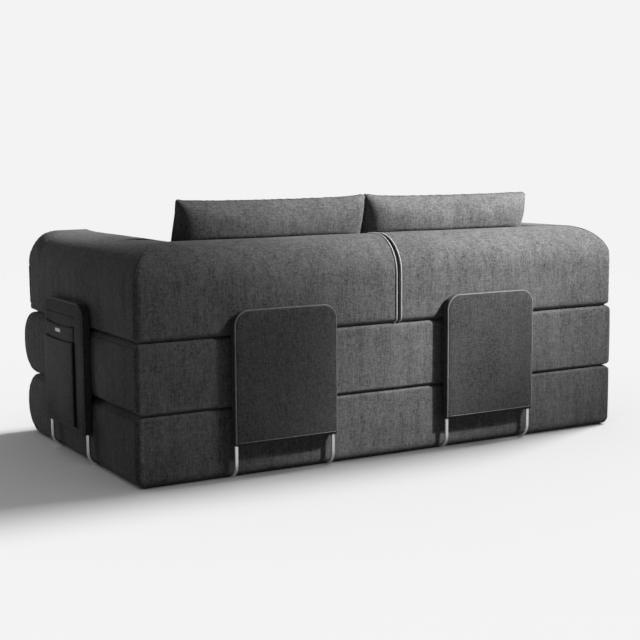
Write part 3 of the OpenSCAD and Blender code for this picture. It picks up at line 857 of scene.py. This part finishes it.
class SOFABED_OT_bolsters(bpy.types.Operator):
    """Makes the two corner bolsters with their seams and light piping"""

    bl_idname = "sofabed.bolsters"
    bl_label = "Bolsters"

    def execute(self, context):
        for side, self.sign in SIDES.items():
            (low, high), (end_low, end_high) = (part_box(f"{side}_bolster_{part}")
                                                for part in ("cover", "end"))
            self.low = Vector(map(min, low, end_low))
            self.high = Vector(map(max, high, end_high))
            # the distances of the middle seam's end and of the outer face from the sofa's middle
            self.inner, self.outer = sorted((abs(self.low.x), abs(self.high.x)))
            self.bolster(context, f"{side}_bolster")
        return {"FINISHED"}

    def bolster(self, context, body):
        settings, colours = context.scene.sofa_bolster, context.scene.sofa_cloth
        material = cloth(context, "cover")
        copy = NODES[f"{body}_foam"].data.copy()
        with edited(copy) as bm:
            bmesh.ops.remove_doubles(bm, verts=bm.verts, dist=1e-6)

        def near_foot(p):
            beside = min(self.high.y - p.y, self.outer - abs(p.x)) < NEAR_EDGE
            return beside and p.z - self.low.z < NEAR_EDGE

        mesh = remeshed(copy, settings.voxel, near_foot)
        points, normals = skin_of(mesh)
        put_points(mesh, points + normals * COVER_T)
        self.fill_front(mesh)
        self.swell(mesh, settings.swell)
        lower = ease(self.high.z - 0.05, self.low.z, points_of(mesh)[:, 2])
        undulated(mesh, 5.5, 1.4 * MM, 7.0 + self.sign, lower)
        self.square_end(mesh)
        seams = self.seam_lines()
        for line in seams.values():
            groove(mesh, laid_on(mesh, line, 0), 6 * MM, 2.4 * MM)
        # the end is rounded off towards the middle seam, and drawn in beside the piping
        groove(mesh, self.end_loop(0, 0), 5 * MM, 8 * MM)
        groove(mesh, self.end_loop(10.5 * MM, 0), 2.2 * MM, 2 * MM)
        piece = new_piece(f"{body}_padding", mesh, material, body,
                          tuple(f"{body}_{part}" for part in ("cover", "end", "foam")))
        for name, line in seams.items():
            cord(f"{body}_{name}_seam", laid_on(mesh, line, 0.6 * MM), colours.welt_r,
                 material, body)
        cord(f"{body}_light_piping", self.end_loop(6.2 * MM, -0.4 * MM), settings.piping_r,
             once(piping_cloth, "piping_braid", colours.piping), body,
             (f"{body}_piping",), closed=True, sides=3)

    def fill_front(self, mesh, fullness=3.4):
        """Stuffs the arm's front crown fuller than a quarter circle."""
        low, high, points = self.low, self.high, points_of(mesh)
        forward = np.clip(low.y + CROWN_R - points[:, 1], 0, None) / CROWN_R
        upward = np.clip(points[:, 2] - high.z + CROWN_R, 0, None) / CROWN_R
        square = (forward ** fullness + upward ** fullness) ** (1 / fullness)
        grow = np.where(square > 0, np.hypot(forward, upward) / np.maximum(square, 1e-6), 1) - 1
        points[:, 1] -= forward * grow * CROWN_R
        points[:, 2] += upward * grow * CROWN_R
        points[:, 2] += (6 * MM * ease(low.y + 0.20, low.y, points[:, 1])
                         * ease(0.55, 1.0, upward))
        points[:, 1] -= (8 * MM * ease(low.y + 0.09, low.y, points[:, 1])
                         * ease(low.z, low.z + 0.03, points[:, 2]))
        put_points(mesh, points)

    def swell(self, mesh, amount):
        """Swells the upright faces, and holds the outer back corner and both ends."""
        points, normals = skin_of(mesh)
        outward = self.sign * points[:, 0]
        from_side, from_seam = self.outer - outward, outward - self.inner
        from_back, from_front = self.high.y - points[:, 1], points[:, 1] - self.low.y
        held = (ease(0, 0.14, np.maximum(from_side, from_back)) * ease(0, 0.10, from_seam)
                * ease(0, 0.12, np.maximum(from_front, from_side - 0.5)))
        swollen = standing_out(points, normals, self.low, self.high, amount, held)
        put_points(mesh, points + swollen)

    def square_end(self, mesh):
        """Presses the middle seam's end flat and the foot level, and turns the foot's edge in."""
        low, high, sign, points = self.low, self.high, self.sign, points_of(mesh)
        points[:, 0] = sign * np.maximum(sign * points[:, 0], self.inner)
        points[:, 2] = np.clip(points[:, 2], low.z, high.z + 10 * MM)
        # the edge that turns in leaves a dark line above the seat
        up = points[:, 2] - low.z
        points[:, 1] -= (8 * MM * ease(9 * MM, 1.5 * MM, up)
                         * ease(22 * MM, 4 * MM, high.y - points[:, 1]))
        points[:, 0] -= (sign * 8 * MM * ease(12 * MM, 2 * MM, up)
                         * ease(24 * MM, 4 * MM, self.outer - sign * points[:, 0]))
        put_points(mesh, points)

    def end_loop(self, aside, lift):
        """The section's outline, a little beside the middle seam."""
        low, high, foot_r = self.low, self.high, 20 * MM
        loop = rounded_loop((high.y - BOLSTER_T, low.z), (high.y, high.z),
                            (foot_r, foot_r, CROWN_R, INNER_R), lift, 14)
        x = self.sign * (self.inner + aside)
        return dense([(x, y, z) for y, z in loop], 6 * MM, closed=True)

    def seam_lines(self):
        """The corner seam, and two seams up the arm's front.

        The first goes up the outer back corner, over the crown along the mitre, and down inside.
        """
        low, high, sign = self.low, self.high, self.sign
        out_x, back = sign * self.outer, high.y
        far, inset, thick = 10 * MM, 11 * MM, back - BACK_FACE
        line = [(out_x + sign * far, back - inset, low.z + 8 * MM)]
        steps = 12
        for i in range(steps + 1):
            angle = math.radians(90 * i / steps)
            inward = CROWN_R * (1 - math.cos(angle)) - far * math.cos(angle)
            rise = high.z - CROWN_R + (CROWN_R + far) * math.sin(angle)
            behind = max(inward, 0) + inset * (1 - i / steps)
            line.append((out_x - sign * inward, back - behind, rise))
        inside = ((thick - INNER_R, high.z + far), (thick - 8 * MM, high.z - 12 * MM),
                  (thick, high.z - 60 * MM), (thick, low.z + 6 * MM))
        line += [(out_x - sign * inward, back - inward, z) for inward, z in inside]
        seams = {"corner": dense(line, SEAM_STEP)}
        fronts = {"outer_front": out_x + sign * far, "inner_front": out_x - sign * (thick + far)}
        for name, x in fronts.items():
            ends = [(x, low.y + inset, z) for z in (low.z + 30 * MM, high.z - CROWN_R)]
            seams[name] = dense(ends, SEAM_STEP)
        return seams


class SOFABED_OT_pillows(bpy.types.Operator):
    """Makes the two loose pillows: a stuffed shape whose cover a simulation lets crease"""

    bl_idname = "sofabed.pillows"
    bl_label = "Pillows"

    def execute(self, context):
        settings, material = context.scene.sofa_pillow, cloth(context, "pillow")
        half_x, _, half_z = PILLOW_HALF
        outside = rounded_loop((-half_x - 5.5 * MM, -half_z - 7 * MM),
                               (half_x + 5.5 * MM, half_z + 7 * MM), (16 * MM,) * 4)
        edge = dense([(x, 0, z) for x, z in outside], 10 * MM, closed=True)
        for side, sign in SIDES.items():
            body = f"{side}_pillow"
            seat_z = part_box(f"{body}_cover")[0].z
            mesh = self.creased(self.stuffed(sign), settings)
            self.shape_edges(mesh, sign)
            groove(mesh, laid_on(mesh, edge, 0), 5 * MM, 1.5 * MM)
            path = self.leaning(laid_on(mesh, edge, 0.5 * MM), seat_z, sign, settings.lean)
            put_points(mesh, self.leaning(points_of(mesh), seat_z, sign, settings.lean))
            piece = new_piece(f"{body}_padding", mesh, material, body,
                              (f"{body}_cover", f"{body}_filling"))
            cord(f"{body}_seam", path, context.scene.sofa_cloth.welt_r, material, body,
                 closed=True)
        return {"FINISHED"}

    def stuffed(self, sign):
        """The stuffed shape upright at the origin: thick in its middle, its sides pulled in."""
        half = Vector(PILLOW_HALF)
        bm = bmesh.new()
        box_mesh(bm, -half, half)
        round_edges(bm, [e for e in bm.edges if spans(e, 1)], 16 * MM, 4)
        for axis, step in ((0, 9 * MM), (2, 9 * MM), (1, half.y)):
            slice_mesh(bm, axis, step)
        mesh = to_mesh(bm, "pillow")
        in_fixed_order(mesh)
        points = points_of(mesh)
        u, v = points[:, 0] / half.x, points[:, 2] / half.z
        full = np.clip((1 - np.abs(u) ** 5) * (1 - np.abs(v) ** 2.6), 0, 1) ** 0.52
        points[:, 1] *= 1 + 10.0 * full
        points[:, 1] += 5 * MM * ripple(points, 6.5, 3 + sign) * full
        drawn = np.where(u * sign > 0, 0.012, -0.002)
        points[:, 0] *= 1 - drawn * (1 - v * v)
        points[:, 2] *= 1 - 0.012 * (1 - u * u)
        put_points(mesh, points)
        return mesh

    def creased(self, mesh, settings):
        """The cover, cut a little too large, under pressure from inside, held near its shape."""
        steps, furthest = 18, 9 * MM
        start = points_of(mesh)
        holder = bpy.data.objects.new("pillow_shape", mesh)
        scene = bpy.context.scene
        scene.collection.objects.link(holder)
        fabric = holder.modifiers.new("cloth", "CLOTH")
        made_of = {
            "quality": 5, "mass": 0.2, "tension_stiffness": 15, "compression_stiffness": 15,
            "shear_stiffness": 5, "bending_stiffness": 0.4, "shrink_min": -0.02,
            "use_pressure": True, "uniform_pressure_force": settings.pressure,
        }
        for key, value in made_of.items():
            setattr(fabric.settings, key, value)
        fabric.settings.effector_weights.gravity = 0
        fabric.point_cache.frame_start = 1
        fabric.point_cache.frame_end = steps
        for step in range(1, steps + 1):
            scene.frame_set(step)
        swollen = evaluated(holder)
        scene.frame_set(1)
        bpy.data.objects.remove(holder)
        moved = points_of(swollen) - start
        length = np.linalg.norm(moved, axis=1, keepdims=True)
        put_points(swollen, start + moved * np.minimum(1, furthest / np.maximum(length, 1e-9)))
        return swollen

    def shape_edges(self, mesh, sign):
        """Straightens the inner edge, where the pillows meet, and draws the outer edge in."""
        half_x, _, half_z = PILLOW_HALF
        points = points_of(mesh)
        inward, up = -sign * points[:, 0], points[:, 2]
        heights = np.linspace(-0.18, 0.18, 19)
        reach = [inward[np.abs(up - z) < 12 * MM].max() for z in heights]
        straight = 0.3448 - np.interp(up, heights, reach)
        points[:, 0] -= sign * straight * ease(0.0, 0.32, inward)
        drawn = 7 * MM if sign > 0 else 9 * MM * np.clip(1 - (up / half_z) ** 2, 0, 1)
        points[:, 0] -= sign * drawn * ease(0.05, 0.33, -inward)
        if sign < 0:
            # the right pillow's upper outer corner is rounder
            away = np.hypot(points[:, 0] + half_x, up - half_z)
            pulled = 11 * MM * ease(0.09, 0.0, away)
            points[:, 0] += 0.8 * pulled
            points[:, 2] -= 0.6 * pulled
        put_points(mesh, points)

    def leaning(self, points, seat_z, sign, lean):
        """Leans the pillow back, on the seat and against the bolster's face and edge."""
        points = np.array(points)
        up, out = points[:, 2].copy(), points[:, 1].copy()
        slope, rise = math.sin(lean), math.cos(lean)
        points[:, 0] += sign * 0.345
        points[:, 1] = 0.2437 + out * rise + up * slope
        points[:, 2] = seat_z + 0.206 * rise + 7 * MM * slope + up * rise - out * slope
        points[:, 1] += 26 * MM * ease(0.62, 0.84, points[:, 2])
        # the bolster's face is upright up to the round edge, and free above it
        edge_z, soft = 0.66, 5 * MM
        over = np.clip(points[:, 2] - edge_z, 0, INNER_R)
        limit = (BACK_FACE + 1.5 * MM + INNER_R - np.sqrt(INNER_R ** 2 - over ** 2)
                 + 2.5 * np.clip(points[:, 2] - edge_z - INNER_R, 0, None))
        gap = np.clip((limit - points[:, 1]) / soft, -20, 20)
        pressed = limit - soft * np.log1p(np.exp(gap))
        points[:, 1] = np.where(gap < 8, pressed, points[:, 1])
        points[:, 2] = np.maximum(points[:, 2], seat_z)
        return points


class SOFABED_OT_bracket_panels(bpy.types.Operator):
    """Makes the padded fabric sleeves over the four brackets"""

    bl_idname = "sofabed.bracket_panels"
    bl_label = "Bracket panels"

    def execute(self, context):
        for name in BRACKETS:
            self.sleeve(context, name)
        return {"FINISHED"}

    def sleeve(self, context, name):
        settings, body, welt = context.scene.sofa_bracket, f"{name}_bracket", cloth(context, "welt")
        low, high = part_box(f"{name}_sleeve")
        axis, outward = (1, 1) if name.startswith("rear") else (0, 1 if name == "side_left" else -1)
        along = 1 - axis
        face = high[axis] if outward > 0 else low[axis]
        bm = bmesh.new()
        box_mesh(bm, low, high)
        upper = [e for e in bm.edges if lies_in(e, 2, high.z) and spans(e, axis)]
        round_edges(bm, upper, settings.corner, 10)
        rims = [e for e in bm.edges if not lies_in(e, 2, low.z)
                and (lies_in(e, axis, low[axis]) or lies_in(e, axis, high[axis]))]
        round_edges(bm, rims, 9 * MM, 4)
        slice_mesh(bm, along, 16 * MM)
        slice_mesh(bm, 2, 16 * MM)
        under = [f for f in bm.faces if lies_in(f, 2, low.z)]
        bmesh.ops.delete(bm, geom=under, context="FACES")
        mesh = to_mesh(bm, "sleeve")
        self.puff(mesh, low, high, axis, along, settings.puff)
        piece = new_piece(f"{name}_panel_sleeve", mesh, cloth(context, "sleeve"), body,
                          (f"{name}_sleeve",))
        walled(piece, 1.4 * MM, -1)

        def on_face(u, z, proud=0.0):
            p = Vector((0, 0, z))
            p[along], p[axis] = u, face + outward * proud
            return p

        outline = rounded_loop((low[along], low.z), (high[along], high.z),
                               (1 * MM, 1 * MM, settings.corner, settings.corner), 0, 10)
        foot_z = low.z + 3 * MM
        line = [(high[along], foot_z), *(p for p in outline if p[1] > low.z + 2 * MM),
                (low[along], foot_z)]
        rim = dense([on_face(u, z) for u, z in line], 8 * MM)
        # the welt and the hem use the lighter welt cloth: painted highlight along the rims and the
        # hem
        cord(f"{name}_panel_welt", laid_on(mesh, rim, 0.4 * MM), 2.8 * MM, welt, body)
        ends = (low[along] + 7 * MM, high[along] - 7 * MM)
        hem = dense([on_face(u, low.z + 9 * MM, 4 * MM) for u in ends], 8 * MM)
        cord(f"{name}_panel_hem", laid_on(mesh, hem, 0.2 * MM), 1.2 * MM, welt, body)

    def puff(self, mesh, low, high, axis, along, amount):
        """Swells the two faces between their rims."""
        points, normals = skin_of(mesh)
        span = (points[:, along] - low[along]) / (high[along] - low[along])
        up = (points[:, 2] - low.z) / (high.z - low.z)
        middle = (np.clip(4 * span * (1 - span), 0, 1) ** 0.6
                  * np.clip(1 - (2 * up - 0.9) ** 4 * 0.8, 0, 1))
        push = amount * middle * ease(0.75, 0.95, np.abs(normals[:, axis]))
        put_points(mesh, points + normals * push[:, None])


class SOFABED_OT_pocket(bpy.types.Operator):
    """Makes the three-tier pocket with sagging mouths on the left arm's panel"""

    bl_idname = "sofabed.pocket"
    bl_label = "Pocket"

    def execute(self, context):
        sag, shade = context.scene.sofa_bracket.sag, context.scene.sofa_cloth.sleeve
        middle_mouth, front_mouth = (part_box(f"pocket_{tier}")[1].z for tier in ("middle", "front"))
        # painted shade: the sheet behind each tier is painted black below that tier's mouth, the
        # shade inside the pocket
        behind_middle = woven("pocket_back_cloth", shade, 0.9, 0.5, 1.2, middle_mouth - 1 * MM)
        behind_front = woven("pocket_middle_cloth", shade, 0.9, 0.5, 1.2, front_mouth - 1 * MM)
        self.tier(context, "pocket_patch", behind_middle, 0.0, 0.0)
        self.tier(context, "pocket_middle", behind_front, sag, 4.6 * MM)
        self.tier(context, "pocket_front", cloth(context, "sleeve"), sag * 0.7, 4.6 * MM)
        return {"FINISHED"}

    def tier(self, context, node, material, sag, room):
        """One sheet of the pocket with its hem, standing off the one behind it at its mouth."""
        body, thick, hem_r = "side_left_bracket", 1.2 * MM, 1.8 * MM
        low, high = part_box(node)
        wide, tall = high.y - low.y, high.z - low.z
        bm = bmesh.new()
        bmesh.ops.create_grid(bm, x_segments=28, y_segments=44, size=0.5)
        for turned in "XZ":
            bmesh.ops.rotate(bm, cent=(0, 0, 0), matrix=Matrix.Rotation(math.pi / 2, 3, turned),
                             verts=bm.verts)
        bmesh.ops.scale(bm, vec=(1, wide, tall), verts=bm.verts)
        for v in bm.verts:
            across, up = 2 * v.co.y / wide, v.co.z / tall + 0.5
            v.co.x = room * (1 - across ** 6) * min(1.0, up * 5) ** 0.7
            v.co.z -= sag * (1 - across ** 2) * up ** 6
        middle = Vector((low.x + thick / 2, (low.y + high.y) / 2, (low.z + high.z) / 2))
        bmesh.ops.translate(bm, vec=middle, verts=bm.verts)
        mouth = [v.co.copy() for v in bm.verts if v.is_boundary and v.co.z > high.z - sag - 2 * MM]
        mesh = to_mesh(bm, node)
        if mesh.polygons[len(mesh.polygons) // 2].normal.x < 0:
            mesh.flip_normals()
        piece = new_piece(f"{node}_cloth", mesh, material, body, (node,))
        walled(piece, thick)
        hem = sorted((p for p in mouth if low.y + MM < p.y < high.y - MM), key=lambda p: p.y)
        hem = [p + Vector((0.5 * MM, 0, -1.2 * MM)) for p in hem]
        # the hem's near black binding is black tape and painted shade along the mouth
        cord(f"{node}_hem", hem, hem_r, cloth(context, "binding"), body)


class SOFABED_PT_panel(bpy.types.Panel):
    """Lists the sizes, the colours and the pieces"""

    bl_idname = "SOFABED_PT_panel"
    bl_label = "Sofa Bed"
    bl_space_type = "VIEW_3D"
    bl_region_type = "UI"
    bl_category = "Sofa Bed"

    def draw(self, context):
        for group in SETTINGS:
            box = self.layout.box()
            settings = getattr(context.scene, group)
            for name in settings.__annotations__:
                box.prop(settings, name)
        for operator in OPERATORS:
            self.layout.operator(operator.bl_idname)


OPERATORS = (
    SOFABED_OT_stage,
    SOFABED_OT_inner_parts,
    SOFABED_OT_mattresses,
    SOFABED_OT_fold_hinge,
    SOFABED_OT_bolsters,
    SOFABED_OT_pillows,
    SOFABED_OT_bracket_panels,
    SOFABED_OT_pocket,
)


def register():
    for made in (*SETTINGS.values(), *OPERATORS, SOFABED_PT_panel):
        bpy.utils.register_class(made)
    for name, group in SETTINGS.items():
        setattr(bpy.types.Scene, name, bpy.props.PointerProperty(type=group))


def unregister():
    for name in SETTINGS:
        delattr(bpy.types.Scene, name)
    for made in (SOFABED_PT_panel, *reversed(OPERATORS), *reversed(SETTINGS.values())):
        bpy.utils.unregister_class(made)


def main():
    register()
    for operator in OPERATORS:
        group, name = operator.bl_idname.split(".")
        getattr(getattr(bpy.ops, group), name)()
    bpy.context.view_layer.update()


if __name__ == "__main__":
    main()
